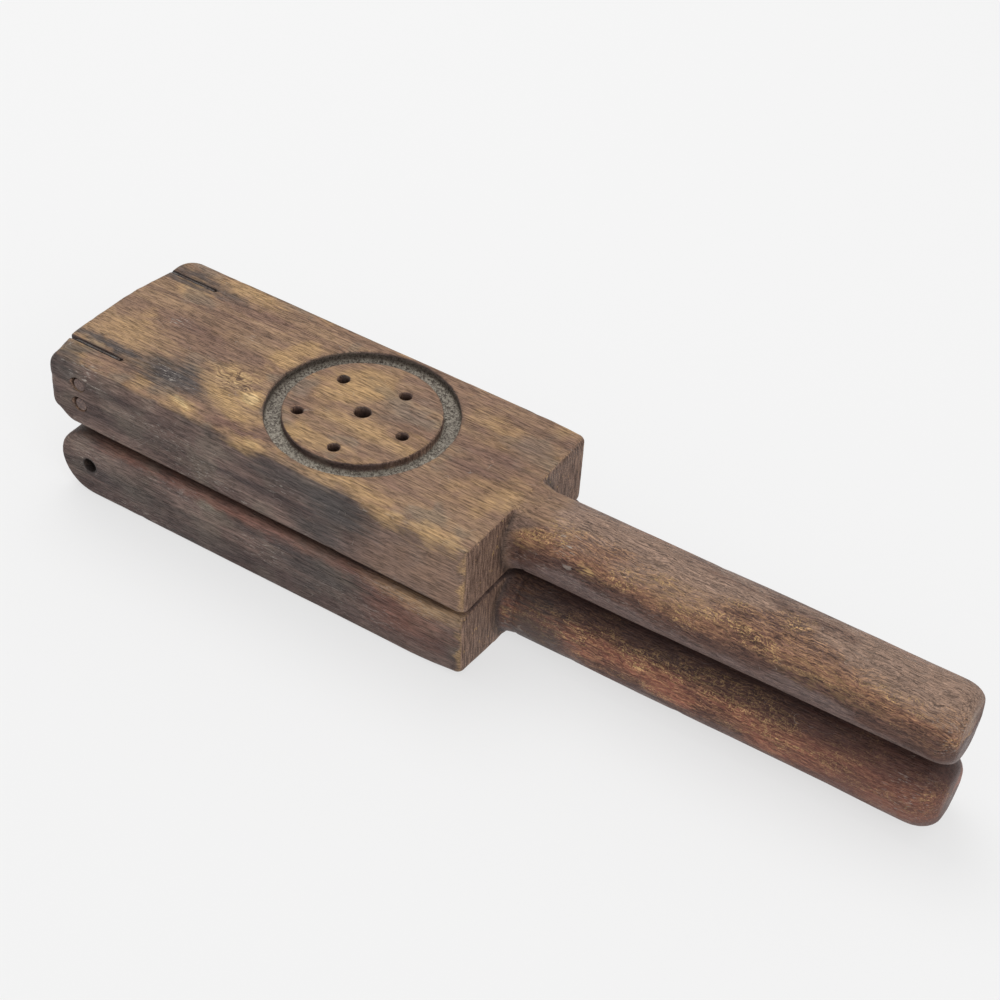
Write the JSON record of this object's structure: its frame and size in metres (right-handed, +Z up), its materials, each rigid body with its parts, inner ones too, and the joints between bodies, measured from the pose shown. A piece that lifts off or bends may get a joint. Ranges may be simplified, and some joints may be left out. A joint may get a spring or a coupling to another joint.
{
  "type": "hinged wooden lemon squeezer",
  "caption": "Hinged wooden lemon squeezer with turned handles: a drain paddle with cup, holes and ring groove closes on a paddle with a pressing dome.",
  "frame": {"origin": "middle of the closed squeezer's footprint, at the level of the surface that the lower paddle rests on", "axes": "+X from the hinge towards the handle ends, +Y across the boards towards the rear plate, +Z up through the closed paddles to the drain side"},
  "size_m": [0.3074, 0.068, 0.0539],
  "materials": {
    "drain_wood": "worn, dry, stained",
    "press_wood": "worn, darker, stained",
    "dome_wood": "turned, smooth",
    "peg_wood": "end grain, worn",
    "iron": "rusted sheet and rod"
  },
  "bodies": {
    "lower_paddle": {"press_paddle": "press_wood", "press_dome": "dome_wood", "pivot_pin": "iron"},
    "upper_paddle": {"drain_paddle": "drain_wood", "front_hinge_plate": "iron", "rear_hinge_plate": "iron", "front_upper_peg": "peg_wood", "front_lower_peg": "peg_wood", "rear_upper_peg": "peg_wood", "rear_lower_peg": "peg_wood"}
  },
  "joints": [
    {"name": "paddle_hinge", "type": "hinge", "parent": "lower_paddle", "child": "upper_paddle", "pos_m": [-0.14097, 0, 0.01255], "axis": [0, -1, 0], "range_deg": [0, 110]}
  ]
}
